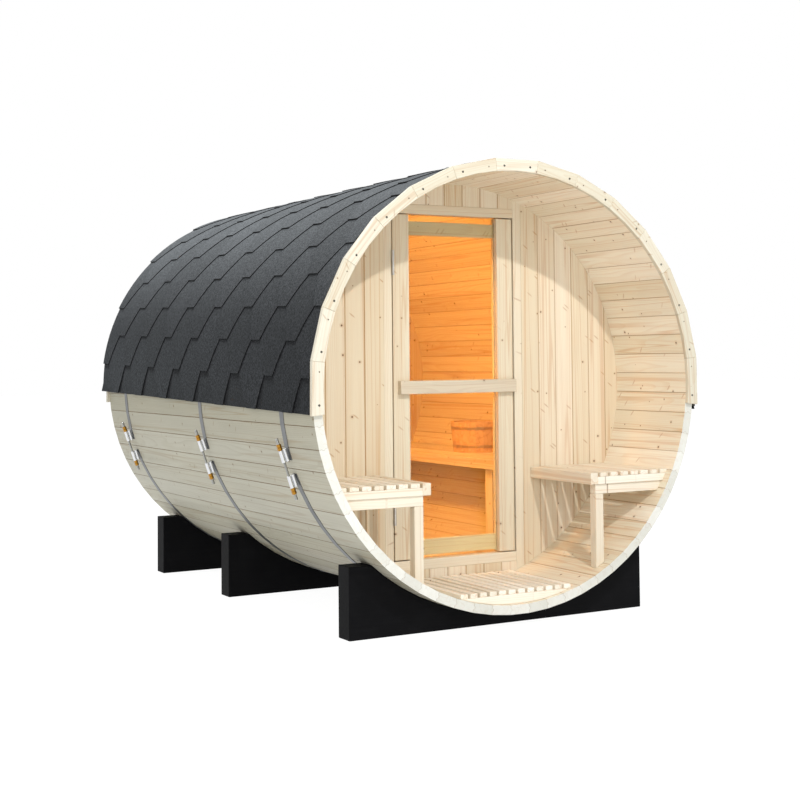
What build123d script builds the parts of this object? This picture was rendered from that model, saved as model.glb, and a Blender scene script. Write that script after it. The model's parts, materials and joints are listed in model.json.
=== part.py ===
"""Barrel sauna: a round timber cabin lying on three cradles, with an open porch in front of its glass door.

Millimetres. X to the right seen from the front, Y towards the back, Z up. The ground is Z = 0 and the
origin lies under the middle of the whole building.
"""
from build123d import *
from math import asin, atan2, cos, degrees, hypot, radians, sin, sqrt, tan
import os

# Barrel
barrel_radius = 900.0
barrel_length = 2460.0
barrel_lift = 55.0            # ground to the lowest stave
stave_thickness = 37.0
stave_count = 64
stave_gap = 0.3
bead_half_width = 8.0
bead_crown = 3.0              # half the flat top of a bead
bead_height = 6.0
seat_gap = 0.3                # between pieces that rest on or beside each other

# Cradles under the barrel
cradle_half_width = 695.0
cradle_height = 280.0
cradle_thickness = 94.0
cradle_fronts = {"front": 122.0, "middle": 1341.0, "rear": 2221.0}  # from the front of the staves

# Walls let into the staves
wall_thickness = 42.0
groove_depth = 10.0
porch_depth = 487.0           # front of the staves to the front wall
rear_recess = 118.0           # back of the rear wall to the back of the staves
wall_board_pitch = 90.0
board_groove_width = 6.0

# Trim boards on the ends of the staves
trim_board_count = 15
trim_span = 191.6             # degrees covered by all the boards
trim_thickness = 20.0
trim_width = 53.0             # inside of the staves to the corners of the outer edge

# Roof shingles
roof_overhang = 15.0          # past the rear trim
shingle_thickness = 4.0
butt_height = 4.0             # what the lower edge of a course stands above the course below
course_pitch = 9.4            # degrees
eave_drop = 88.0              # below the barrel's axis at the front
eave_rise = 55.0              # how much higher the eave is at the back
eave_spare = 1.0              # degrees cut off along the eave
ridge_cap_span = 10.0         # degrees

# Tightening bands
band_width = 36.0
band_thickness = 2.0
band_centres = {"front": 290.0, "middle": 1165.0, "rear": 2190.0}  # from the front of the staves
tensioner_angle = 19.2        # degrees below the barrel's axis, on each side
sleeve_length = 49.0
sleeve_gap = 56.0             # between the two sleeves of a tensioner
sleeve_diameter = 17.0
sleeve_wall = 4.0
sleeve_overlap = 0.5          # of the two tubes of a sleeve
rod_diameter = 10.0
rod_end = 24.0                # past the outer nut
nut_width = 17.0
nut_thickness = 12.5
nut_clearance = 0.1
nuts_per_end = 2

# Door frame
post_width = 40.0
frame_depth = 70.0
doorway_half_width = 303.5
wall_over_door = 93.0         # top of the header to the inside of the staves, at the middle
wall_under_door = 93.0        # bottom of the sill likewise
header_height = 40.0
sill_height = 41.0
stop_width = 12.0

# Door
door_gap = 5.0
latch_gap = 8.0
stile_width = 78.0
door_thickness = 50.0
glass_setback = 24.0          # front of the stiles to the glass
glass_thickness = 8.0
glass_edge = 12.0             # let into the stiles
top_rail_height = 60.0
top_rail_drop = 24.0
bottom_rail_height = 68.0
bottom_rail_lift = 8.0
bar_left = 20.0               # door's left edge to the end of the handle bar
bar_length = 575.0
bar_height = 56.0
bar_thickness = 29.0
bar_drop = 33.0               # barrel's axis to the bottom of the handle bar
bar_rounding = 4.0

# Door hinges
upper_hinge_drop = 258.0      # top of the door to the bottom of the hinge
lower_hinge_lift = 147.0      # bottom of the door to the bottom of the hinge
hinge_length = 105.0
knuckle_radius = 6.0
pin_radius = 3.0
pin_clearance = 0.05
hinge_clearance = 0.5         # knuckles to the front of the door
neck_clearance = 1.0          # pin to the leaf that turns round it
hinge_plate = 2.0
hinge_plate_depth = 20.0

# Duckboard floors
floor_lift = 58.0             # lowest inside of the staves to the top of the floor
floor_slat_count = 12
floor_slat_width = 33.0
floor_slat_pitch = 44.5
floor_slat_thickness = 18.0
floor_bearer_thickness = 40.0
floor_end_gap = 20.0
porch_floor_bearer_count = 2
room_floor_bearer_count = 4

# Benches
bench_from_doorway = 77.5     # side of the doorway to the bench's inner edge
porch_bench_drop = 365.0      # barrel's axis to the top of the bench
room_bench_drop = 351.0
bench_edge_width = 36.0
bench_edge_height = 48.0
bench_slat_width = 40.0
bench_slat_spacing = 12.5
bench_slat_thickness = 17.0
bench_bearer_depth = 36.0
bench_rail_height = 40.0
bench_leg_width = 40.0
bench_leg_inset = 29.0        # bench's inner edge to the leg
bench_leg_setback = 10.0      # front of a porch bench to its legs
porch_bench_setback = 35.0    # front of the staves to the bench
porch_bearer_count = 2
room_bearer_count = 5
room_leg_from_wall = 322.0
room_leg_depth = 62.0

# Bucket and ladle
bucket_inset = 223.0          # inside of the staves, where it is widest, to the middle of the bucket
bucket_y = 1350.0             # from the front of the staves
bucket_height = 150.0
bucket_rim_radius = 135.0
bucket_foot_radius = 120.0
bucket_wall = 14.0
bucket_floor = 16.0
bucket_stave_count = 20
hoop_height = 14.0
hoop_thickness = 1.5
hoop_lifts = {"lower": 22.0, "upper": 112.0}
ladle_cup_radius = 34.0
ladle_cup_depth = 36.0
ladle_cup_x = -62.0           # from the middle of the bucket
ladle_cup_wall = 3.0
ladle_handle_radius = 6.0
ladle_handle_length = 290.0

# Worked out from the sizes above
axis_height = barrel_lift + barrel_radius
inner_radius = barrel_radius - stave_thickness
doorway_top = axis_height + inner_radius - wall_over_door - header_height
doorway_bottom = axis_height - inner_radius + wall_under_door + sill_height
trim_radius = inner_radius + trim_width
floor_top = axis_height - inner_radius + floor_lift
bench_inner = doorway_half_width + bench_from_doorway
porch_bench_top = axis_height - porch_bench_drop
room_bench_top = axis_height - room_bench_drop
overall_length = barrel_length + 2 * trim_thickness + roof_overhang
front_y = trim_thickness - overall_length / 2
back_y = front_y + barrel_length
wall_front = front_y + porch_depth
wall_back = wall_front + wall_thickness
rear_wall_front = back_y - rear_recess - wall_thickness
stave_step = 360 / stave_count
stave_corner_radius = barrel_radius / cos(radians(stave_step / 2))
band_radius = barrel_radius + seat_gap / 2
roof_radius = band_radius + band_thickness + seat_gap


def section(y):
    """The plane across the barrel at y, with its origin on the barrel's axis, X right and Y up."""
    return Plane(origin=(0, y, axis_height), x_dir=(1, 0, 0), z_dir=(0, -1, 0))


def polar(radius, angle):
    """A point across the barrel, its angle counted in degrees from the right towards the top."""
    return (radius * cos(radians(angle)), radius * sin(radians(angle)))


def stave_polygon(radius, mode=Mode.ADD):
    """A polygon with a flat side for every stave, at a radius in the middle of each."""
    RegularPolygon(radius, stave_count, major_radius=False, rotation=stave_step / 2, mode=mode)


def over_staves(radius, angle):
    """Point of a sheet that lies flat on every stave, at a radius in the middle of each stave."""
    flat = round((angle + 90) / stave_step) * stave_step - 90
    return polar(radius / cos(radians(angle - flat)), angle)


def stave_joints(start, end):
    """The angles of the stave joints between two angles."""
    joints = [-90 + stave_step * (count + 0.5) for count in range(2 * stave_count)]
    return [angle for angle in joints if start < angle < end]


def save(piece, name):
    """Label a finished piece and write it to its own file."""
    piece.label = name
    export_step(piece, f"parts/{name}.step")


def upright_box(x_range, y_range, z_range):
    """A straight board or block between two values on each axis."""
    with BuildPart() as block:
        with BuildSketch(Plane.XY.offset(z_range[0])):
            with Locations(((x_range[0] + x_range[1]) / 2, (y_range[0] + y_range[1]) / 2)):
                Rectangle(x_range[1] - x_range[0], y_range[1] - y_range[0])
        extrude(amount=z_range[1] - z_range[0])
    return block.part


os.makedirs("parts", exist_ok=True)

# Space inside the barrel, a seat gap smaller than the staves leave, with its two wall grooves
with BuildPart() as barrel_space:
    for y, depth, radius in (
        (front_y, barrel_length, inner_radius - seat_gap),
        (wall_front, wall_thickness, inner_radius + groove_depth - seat_gap),
        (rear_wall_front, wall_thickness, inner_radius + groove_depth - seat_gap),
    ):
        with BuildSketch(section(y)):
            stave_polygon(radius)
        extrude(amount=-depth)

# Rings cut out of the staves for the two walls
with BuildPart() as wall_grooves:
    for y in (wall_front, rear_wall_front):
        with BuildSketch(section(y - seat_gap)):
            stave_polygon(inner_radius + groove_depth)
            stave_polygon(inner_radius - stave_thickness, mode=Mode.SUBTRACT)
        extrude(amount=-(wall_thickness + 2 * seat_gap))

# Outline of one stave, lying to the right of the axis: a bead on its upper edge and a cove on its lower
with BuildSketch() as stave_outline:
    half_gap = stave_gap / 2
    half_step = radians(stave_step / 2)
    middle_radius = barrel_radius - stave_thickness / 2
    upper_edge = {r: r * tan(half_step) - half_gap for r in (
        inner_radius, middle_radius - bead_half_width, middle_radius, middle_radius + bead_half_width,
        barrel_radius)}
    cove_half_width = bead_half_width + stave_gap
    lower_edge = {r: half_gap - r * tan(half_step) for r in (
        inner_radius, middle_radius - cove_half_width, middle_radius, middle_radius + cove_half_width,
        barrel_radius)}
    with BuildLine():
        r1, r2, r3, r4, r5 = upper_edge
        s1, s2, s3, s4, s5 = lower_edge
        bead_top = upper_edge[r3] + bead_height
        cove_top = lower_edge[s3] + bead_height
        cove_crown = bead_crown + stave_gap
        Polyline((r1, upper_edge[r1]), (r2, upper_edge[r2]), (r3 - bead_crown, bead_top),
                 (r3 + bead_crown, bead_top), (r4, upper_edge[r4]), (r5, upper_edge[r5]),
                 (s5, lower_edge[s5]), (s4, lower_edge[s4]), (s3 + cove_crown, cove_top),
                 (s3 - cove_crown, cove_top), (s2, lower_edge[s2]), (s1, lower_edge[s1]), close=True)
    make_face()

# Staves, in segments from the bottom round to the right
segment_names = ("bottom", "lower_right", "right", "upper_right", "top", "upper_left", "left", "lower_left")
staves_per_segment = stave_count // len(segment_names)
for number, name in enumerate(segment_names):
    first_angle = -90 + (number * staves_per_segment - staves_per_segment / 2) * stave_step
    with BuildPart() as staves:
        with BuildSketch(section(front_y)):
            with PolarLocations(0, staves_per_segment, first_angle, staves_per_segment * stave_step):
                add(stave_outline.sketch)
        extrude(amount=-barrel_length)
        add(wall_grooves.part, mode=Mode.SUBTRACT)
    save(staves.part, f"staves_{name}")

# Cradles, hollowed to the barrel
for name, distance in cradle_fronts.items():
    with BuildPart() as cradle:
        with BuildSketch(section(front_y + distance)):
            with Locations((0, cradle_height / 2 - axis_height)):
                Rectangle(2 * cradle_half_width, cradle_height)
            stave_polygon(barrel_radius + seat_gap, mode=Mode.SUBTRACT)
        extrude(amount=-cradle_thickness)
    save(cradle.part, f"cradle_{name}")


def trim_boards(y):
    """The straight-edged boards that cover the upper stave ends, from y towards the back."""
    step = trim_span / trim_board_count
    side_gap = seat_gap / 2
    with BuildPart() as boards:
        with BuildSketch(section(y)):
            with PolarLocations(0, trim_board_count, 90 - trim_span / 2 + step / 2, trim_span - step,
                                endpoint=True):
                with BuildSketch(mode=Mode.PRIVATE) as board:
                    with BuildLine():
                        low, high = polar(trim_radius, -step / 2), polar(trim_radius, step / 2)
                        inner_low, inner_high = polar(inner_radius, -step / 2), polar(inner_radius, step / 2)
                        Line((low[0], low[1] + side_gap), (high[0], high[1] - side_gap))
                        Line((high[0], high[1] - side_gap), (inner_high[0], inner_high[1] - side_gap))
                        Line((inner_high[0], inner_high[1] - side_gap), (inner_radius, 0))
                        Line((inner_radius, 0), (inner_low[0], inner_low[1] + side_gap))
                        Line((inner_low[0], inner_low[1] + side_gap), (low[0], low[1] + side_gap))
                    make_face()
                add(board.sketch)
        extrude(amount=-trim_thickness)
    return boards.part


save(trim_boards(front_y - trim_thickness), "front_trim")
save(trim_boards(back_y), "rear_trim")

# Front wall: boards beside, over and under the doorway
doorway_outer = doorway_half_width + post_width
header_top = doorway_top + header_height
sill_bottom = doorway_bottom - sill_height
boards_per_side = int(barrel_radius / wall_board_pitch)
side_joints = [doorway_outer + wall_board_pitch * count for count in range(1, boards_per_side)]
middle_joints = [wall_board_pitch * (count + 0.5) for count in range(-boards_per_side, boards_per_side)]


def boarded_wall(x_range, z_range, y_front, joints, grooved_faces):
    """A piece of wall between the staves, with the joints of its boards grooved on the faces at some y."""
    with BuildPart() as wall:
        add(upright_box(x_range, (y_front, y_front + wall_thickness), z_range))
        add(barrel_space.part, mode=Mode.INTERSECT)
        with BuildSketch(Plane.XY):
            places = [(x, y) for x in joints if x_range[0] < x < x_range[1]
                      for y in grooved_faces]
            with Locations(*places):
                Rectangle(board_groove_width / sqrt(2), board_groove_width / sqrt(2), rotation=45)
        extrude(amount=2 * axis_height, mode=Mode.SUBTRACT)
    return wall.part


wall_top = 2 * axis_height
inner_width = doorway_half_width - seat_gap
barrel_width = (-barrel_radius, barrel_radius)
for name, x_range, z_range, joints in (
    ("left", (-barrel_radius, -doorway_outer - seat_gap), (0, wall_top), [-x for x in side_joints]),
    ("right", (doorway_outer + seat_gap, barrel_radius), (0, wall_top), side_joints),
    ("over_door", (-inner_width, inner_width), (header_top + seat_gap, wall_top), middle_joints),
    ("under_door", (-inner_width, inner_width), (0, sill_bottom - seat_gap), middle_joints),
):
    save(boarded_wall(x_range, z_range, wall_front, joints, [wall_front]), f"front_wall_{name}")
rear_wall_back = rear_wall_front + wall_thickness
rear_wall = boarded_wall(barrel_width, (0, wall_top), rear_wall_front, middle_joints, [rear_wall_back])
save(rear_wall, "rear_wall")

# Door frame: two posts from stave to stave, a header and a sill, rebated as a stop behind the door
stop_front = wall_front + door_thickness + door_gap
frame_back = wall_front + frame_depth
with BuildPart() as door_frame:
    for side in (-1, 1):
        inner, outer = side * doorway_half_width, side * doorway_outer
        stop = side * (doorway_half_width - stop_width)
        with BuildSketch(Plane.XY):
            with BuildLine():
                Polyline((inner, wall_front), (outer, wall_front), (outer, frame_back), (stop, frame_back),
                         (stop, stop_front), (inner, stop_front), close=True)
            make_face()
        extrude(amount=2 * axis_height)
    add(barrel_space.part, mode=Mode.INTERSECT)
    for z_range in ((doorway_top, header_top), (sill_bottom, doorway_bottom)):
        stop_x = doorway_half_width - stop_width - seat_gap
        rebate_y = stop_front - seat_gap
        with BuildSketch(Plane.XY.offset(z_range[0])):
            with BuildLine():
                Polyline((-inner_width, wall_front), (inner_width, wall_front), (inner_width, rebate_y),
                         (stop_x, rebate_y), (stop_x, frame_back), (-stop_x, frame_back),
                         (-stop_x, rebate_y), (-inner_width, rebate_y), close=True)
            make_face()
        extrude(amount=z_range[1] - z_range[0])
save(door_frame.part, "door_frame")

# Door
door_left = -doorway_half_width + door_gap
door_right = doorway_half_width - latch_gap
door_bottom = doorway_bottom + door_gap
door_top = doorway_top - door_gap
door_front = wall_front
door_back = door_front + door_thickness
glass_front = door_front + glass_setback
glass_back = glass_front + glass_thickness
opening_left = door_left + stile_width
opening_right = door_right - stile_width

with BuildPart() as door_stiles:
    for x_low in (door_left, opening_right):
        add(upright_box((x_low, x_low + stile_width), (door_front, door_back), (door_bottom, door_top)))
    add(upright_box((opening_left - glass_edge - seat_gap, opening_right + glass_edge + seat_gap),
                    (glass_front - seat_gap, glass_back + seat_gap), (door_bottom, door_top)),
        mode=Mode.SUBTRACT)
save(door_stiles.part, "door_stiles")

save(upright_box((opening_left - glass_edge, opening_right + glass_edge), (glass_front, glass_back),
                 (door_bottom, door_top)), "door_glass")

with BuildPart() as door_rails:
    top_rail_top = door_top - top_rail_drop
    bottom_rail_bottom = door_bottom + bottom_rail_lift
    for z_low, height in ((top_rail_top - top_rail_height, top_rail_height),
                          (bottom_rail_bottom, bottom_rail_height)):
        add(upright_box((opening_left, opening_right), (glass_back + seat_gap, door_back),
                        (z_low, z_low + height)))
save(door_rails.part, "door_rails")

bar_bottom = axis_height - bar_drop
with BuildPart() as door_handle_bar:
    add(upright_box((door_left + bar_left, door_left + bar_left + bar_length),
                    (door_front - bar_thickness, door_front), (bar_bottom, bar_bottom + bar_height)))
    fillet(door_handle_bar.faces().sort_by(Axis.Y)[0].edges(), radius=bar_rounding)
save(door_handle_bar.part, "door_handle_bar")

# Hinges: the lower knuckle and its pin stay on the post, the upper knuckle turns with the door
hinge_x = -doorway_half_width + door_gap / 2
hinge_y = door_front - knuckle_radius - hinge_clearance
knuckle_length = (hinge_length - seat_gap) / 2
plate_front = hinge_y + knuckle_radius + seat_gap
plate_back = door_front + hinge_plate_depth
hinge_bottoms = (door_top - upper_hinge_drop, door_bottom + lower_hinge_lift)
with BuildPart() as hinge_posts:
    for z_low in hinge_bottoms:
        x_range = (-doorway_half_width, -doorway_half_width + hinge_plate)
        add(upright_box(x_range, (plate_front, plate_back), (z_low, z_low + hinge_length)))
        add(upright_box(x_range, (hinge_y + pin_radius, plate_front + seat_gap),
                        (z_low, z_low + knuckle_length)))
        with BuildSketch(Plane.XY.offset(z_low)):
            with Locations((hinge_x, hinge_y)):
                RegularPolygon(knuckle_radius, 16)
        extrude(amount=knuckle_length)
        with BuildSketch(Plane.XY.offset(z_low)):
            with Locations((hinge_x, hinge_y)):
                Circle(pin_radius)
        extrude(amount=hinge_length)
save(hinge_posts.part, "hinge_posts")

with BuildPart() as hinge_leaves:
    for z_low in hinge_bottoms:
        z_knuckle = z_low + hinge_length - knuckle_length
        x_range = (door_left - hinge_plate, door_left)
        add(upright_box(x_range, (plate_front, plate_back), (z_low, z_low + hinge_length)))
        add(upright_box(x_range, (hinge_y + pin_radius + neck_clearance, plate_front + seat_gap),
                        (z_knuckle, z_low + hinge_length)))
        with BuildSketch(Plane.XY.offset(z_knuckle)):
            with Locations((hinge_x, hinge_y)):
                RegularPolygon(knuckle_radius, 16)
        extrude(amount=knuckle_length)
        with BuildSketch(Plane.XY.offset(z_knuckle)):
            with Locations((hinge_x, hinge_y)):
                Circle(pin_radius + pin_clearance)
        extrude(amount=knuckle_length, mode=Mode.SUBTRACT)
save(hinge_leaves.part, "hinge_leaves")

# Duckboard floors of the porch and the room: slats along the barrel on crescent bearers
slat_bottom = floor_top - floor_slat_thickness
first_slat = -(floor_slat_count - 1) / 2 * floor_slat_pitch
for name, y_low, y_high, bearer_count in (
    ("porch", front_y + floor_end_gap, wall_front - floor_end_gap / 2, porch_floor_bearer_count),
    ("room", frame_back + floor_end_gap / 2, rear_wall_front - floor_end_gap / 2, room_floor_bearer_count),
):
    with BuildPart() as floor_slats:
        with BuildSketch(Plane.XY.offset(slat_bottom)):
            with Locations((0, (y_low + y_high) / 2)):
                with GridLocations(floor_slat_pitch, 0, floor_slat_count, 1):
                    Rectangle(floor_slat_width, y_high - y_low)
        extrude(amount=floor_slat_thickness)
        add(barrel_space.part, mode=Mode.INTERSECT)
    save(floor_slats.part, f"{name}_floor_slats")

    with BuildPart() as floor_bearers:
        bearer_step = (y_high - y_low - floor_bearer_thickness) / (bearer_count - 1)
        for count in range(bearer_count):
            y_bearer = y_low + count * bearer_step
            add(upright_box((-barrel_radius, barrel_radius), (y_bearer, y_bearer + floor_bearer_thickness),
                            (0, slat_bottom)))
        add(barrel_space.part, mode=Mode.INTERSECT)
    save(floor_bearers.part, f"{name}_floor_bearers")


def bench_slats(top, y_low, y_high):
    """The slats of a right-hand bench, with the deeper board along its inner edge."""
    with BuildPart() as slats:
        add(upright_box((bench_inner, bench_inner + bench_edge_width), (y_low, y_high),
                        (top - bench_edge_height, top)))
        slat_step = bench_slat_width + bench_slat_spacing
        slats_start = bench_inner + bench_edge_width + bench_slat_spacing
        slats_end = sqrt(inner_radius ** 2 - (axis_height - top) ** 2)
        for count in range(round((slats_end - slats_start) / slat_step)):
            x_low = slats_start + count * slat_step
            add(upright_box((x_low, x_low + bench_slat_width), (y_low, y_high),
                            (top - bench_slat_thickness, top)))
        add(barrel_space.part, mode=Mode.INTERSECT)
    return slats.part


def bench_frame(top, y_low, y_high, bearer_count, leg_y, leg_depth):
    """Bearers under the slats of a right-hand bench, with a rail and a leg down to the staves."""
    bearer_top = top - bench_slat_thickness - seat_gap
    bearer_bottom = top - bench_edge_height
    rail_top = bearer_bottom - seat_gap
    rail_bottom = rail_top - bench_rail_height
    leg_x = bench_inner + bench_leg_inset
    bearer_step = (y_high - y_low - bench_bearer_depth) / (bearer_count - 1)
    with BuildPart() as frame:
        for count in range(bearer_count):
            y_bearer = y_low + count * bearer_step
            add(upright_box((bench_inner + bench_edge_width + seat_gap, barrel_radius),
                            (y_bearer, y_bearer + bench_bearer_depth), (bearer_bottom, bearer_top)))
        add(upright_box((leg_x, barrel_radius), (leg_y, leg_y + leg_depth), (rail_bottom, rail_top)))
        add(upright_box((leg_x, leg_x + bench_leg_width), (leg_y, leg_y + leg_depth),
                        (0, rail_bottom - seat_gap)))
        add(barrel_space.part, mode=Mode.INTERSECT)
    return frame.part


porch_bench_front = front_y + porch_bench_setback
porch_bench_back = wall_front - seat_gap
right_slats = bench_slats(porch_bench_top, porch_bench_front, porch_bench_back)
right_frame = bench_frame(porch_bench_top, porch_bench_front, porch_bench_back, porch_bearer_count,
                          porch_bench_front + bench_leg_setback, bench_leg_width)
left_slats = mirror(right_slats, about=Plane.YZ)
left_frame = mirror(right_frame, about=Plane.YZ)
for side, slats, frame in (("right", right_slats, right_frame), ("left", left_slats, left_frame)):
    save(slats, f"porch_bench_{side}_slats")
    save(frame, f"porch_bench_{side}_frame")

# Bench inside the room, on the right
room_bench_front = frame_back + seat_gap
room_bench_back = rear_wall_front - seat_gap
save(bench_slats(room_bench_top, room_bench_front, room_bench_back), "room_bench_slats")
save(bench_frame(room_bench_top, room_bench_front, room_bench_back, room_bearer_count,
                 wall_back + room_leg_from_wall, room_leg_depth), "room_bench_frame")

# Roof: shingle courses stepped up both sides to a ridge cap, on the bands at the front and on the
# rear trim at the back, so the roof widens a little towards the back
roof_front = front_y
roof_length = barrel_length + trim_thickness + roof_overhang
rear_growth = 1 + ((trim_radius + seat_gap) / roof_radius - 1) * roof_length / barrel_length
roof_ends = ((roof_front, 1.0), (roof_front + roof_length, rear_growth))
ridge_angle = 90.0
top_radius = (roof_radius + shingle_thickness) / cos(radians(stave_step / 2))
butt_radius = top_radius + butt_height
lowest_angle = -degrees(asin(eave_drop / roof_radius)) - eave_spare
courses_per_side = round((ridge_angle - lowest_angle) / course_pitch)
courses_per_node = courses_per_side // 3
course_angles = [ridge_angle - course_pitch * count for count in range(courses_per_side)] + [lowest_angle]


def widening(outline):
    """A length of roof whose outline across the barrel grows from its front to its back."""
    with BuildPart() as length:
        for y, growth in roof_ends:
            with BuildSketch(section(y)):
                with BuildLine():
                    Polyline(*[(x * growth, z * growth) for x, z in outline], close=True)
                make_face()
        loft(ruled=True)
    return length.part


def right_courses(first, last):
    """Courses of the right-hand slope, counted down from the ridge, as one stepped shell."""
    upper, lower = course_angles[first], course_angles[last]
    outside = []
    for head, foot in zip(course_angles[first:last], course_angles[first + 1:last + 1]):
        outside.append(polar(top_radius, head))
        outside.append(polar((top_radius + butt_radius) / 2, (head + foot) / 2))
        outside.append(polar(butt_radius, foot))
    inside_angles = [lower] + stave_joints(lower, upper) + [upper]
    inside = [over_staves(roof_radius, angle) for angle in inside_angles]
    with BuildPart() as courses:
        add(widening(outside + inside))
        with BuildSketch(Plane.YZ):
            with BuildLine():
                Polyline((roof_front, axis_height - eave_drop),
                         (roof_front + roof_length, axis_height - eave_drop + eave_rise),
                         (roof_front + roof_length, 0), (roof_front, 0), close=True)
            make_face()
        extrude(amount=2 * barrel_radius, both=True, mode=Mode.SUBTRACT)
    return courses.part


for name, first, last in (("upper", 0, courses_per_node), ("middle", courses_per_node, 2 * courses_per_node),
                          ("lower", 2 * courses_per_node, courses_per_side)):
    slope = right_courses(first, last)
    save(slope, f"roof_right_{name}")
    save(mirror(slope, about=Plane.YZ), f"roof_left_{name}")

cap_radius = top_radius + butt_height * (ridge_cap_span / 2) / course_pitch + seat_gap
cap_angles = [ridge_angle - ridge_cap_span / 2, ridge_angle, ridge_angle + ridge_cap_span / 2]
cap_inside = [polar(cap_radius, angle) for angle in cap_angles]
cap_outside = [polar(cap_radius + shingle_thickness, angle) for angle in reversed(cap_angles)]
save(widening(cap_inside + cap_outside), "roof_ridge_cap")

# Bands in two halves, flat on every stave, joined on each side by a tensioner
band_outer = band_radius + band_thickness
half_gap_angle = degrees(sleeve_gap / 2 / band_outer)
upper_half = (-tensioner_angle + half_gap_angle, 180 + tensioner_angle - half_gap_angle)
lower_half = (180 + tensioner_angle + half_gap_angle, 360 - tensioner_angle - half_gap_angle)
for name, distance in band_centres.items():
    with BuildPart() as band:
        for start, end in (upper_half, lower_half):
            angles = [start] + stave_joints(start, end) + [end]
            with BuildSketch(section(front_y + distance - band_width / 2)):
                with BuildLine():
                    Polyline(*[over_staves(band_radius, angle) for angle in angles],
                             *[over_staves(band_outer, angle) for angle in reversed(angles)], close=True)
                make_face()
            extrude(amount=-band_width)
    save(band.part, f"band_{name}")

# Tensioners: double sleeves on the ends of the bands, drawn together by a threaded rod and its nuts
sleeve_radius = sleeve_diameter / 2
rod_offset = 3 * sleeve_radius - sleeve_overlap
rod_half = sleeve_gap / 2 + sleeve_length + nuts_per_end * (nut_thickness + seat_gap) + rod_end
band_end_heights = [hypot(*over_staves(band_outer, -tensioner_angle + turn)) * cos(radians(turn))
                    for turn in (-half_gap_angle, half_gap_angle)]
tensioner_seat = max(band_end_heights) + seat_gap


def tensioner_planes(offset_along):
    """Planes across every tensioner rod, X outwards, on both sides of its middle and facing away from it."""
    planes = []
    for distance in band_centres.values():
        for angle in (-tensioner_angle, 180 + tensioner_angle):
            foot = polar(tensioner_seat, angle)
            middle = Vector(foot[0], front_y + distance, axis_height + foot[1])
            outward = Vector(cos(radians(angle)), 0, sin(radians(angle)))
            for sign in (-1, 1):
                along = Vector(-outward.Z, 0, outward.X) * sign
                planes.append(Plane(middle + along * offset_along, x_dir=outward, z_dir=along))
    return planes


with BuildPart() as tensioner_sleeves:
    for plane in tensioner_planes(sleeve_gap / 2):
        with BuildSketch(plane):
            with Locations((sleeve_radius, 0), (rod_offset, 0)):
                RegularPolygon(sleeve_radius, 8, major_radius=False, rotation=22.5)
            with Locations((sleeve_radius, 0)):
                RegularPolygon(sleeve_radius - sleeve_wall, 8, major_radius=False, rotation=22.5,
                               mode=Mode.SUBTRACT)
            with Locations((rod_offset, 0)):
                RegularPolygon(rod_diameter / 2 + seat_gap, 8, major_radius=False, rotation=22.5,
                               mode=Mode.SUBTRACT)
        extrude(amount=sleeve_length)
save(tensioner_sleeves.part, "tensioner_sleeves")

with BuildPart() as tensioner_rods:
    for plane in tensioner_planes(-rod_half)[::2]:
        with BuildSketch(plane):
            with Locations((rod_offset, 0)):
                RegularPolygon(rod_diameter / 2, 12)
        extrude(amount=2 * rod_half)
save(tensioner_rods.part, "tensioner_rods")

with BuildPart() as tensioner_nuts:
    for count in range(nuts_per_end):
        nut_start = sleeve_gap / 2 + sleeve_length + seat_gap + count * (nut_thickness + seat_gap)
        for plane in tensioner_planes(nut_start):
            with BuildSketch(plane):
                with Locations((rod_offset, 0)):
                    RegularPolygon(nut_width / 2, 6, major_radius=False)
                    RegularPolygon(rod_diameter / 2 + nut_clearance, 6, major_radius=False,
                                   mode=Mode.SUBTRACT)
            extrude(amount=nut_thickness)
save(tensioner_nuts.part, "tensioner_nuts")

# Bucket on the room bench, of flat staves
bucket_x = inner_radius - bucket_inset
bucket_place = Plane(origin=(bucket_x, front_y + bucket_y, room_bench_top + seat_gap))
flare = (bucket_rim_radius - bucket_foot_radius) / bucket_height
with BuildPart() as bucket:
    for bottom, shrink, mode in ((0, 0, Mode.ADD), (bucket_floor, bucket_wall, Mode.SUBTRACT)):
        for lift in (bottom, bucket_height):
            with BuildSketch(bucket_place.offset(lift)):
                RegularPolygon(bucket_foot_radius + flare * lift - shrink, bucket_stave_count,
                               major_radius=False)
        loft(ruled=True, mode=mode)
save(bucket.part, "bucket")

with BuildPart() as bucket_hoops:
    for hoop_bottom in hoop_lifts.values():
        for growth, mode in ((hoop_thickness + seat_gap, Mode.ADD), (seat_gap, Mode.SUBTRACT)):
            for lift in (hoop_bottom, hoop_bottom + hoop_height):
                with BuildSketch(bucket_place.offset(lift)):
                    RegularPolygon(bucket_foot_radius + flare * lift + growth, bucket_stave_count,
                                   major_radius=False)
            loft(ruled=True, mode=mode)
save(bucket_hoops.part, "bucket_hoops")

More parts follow.
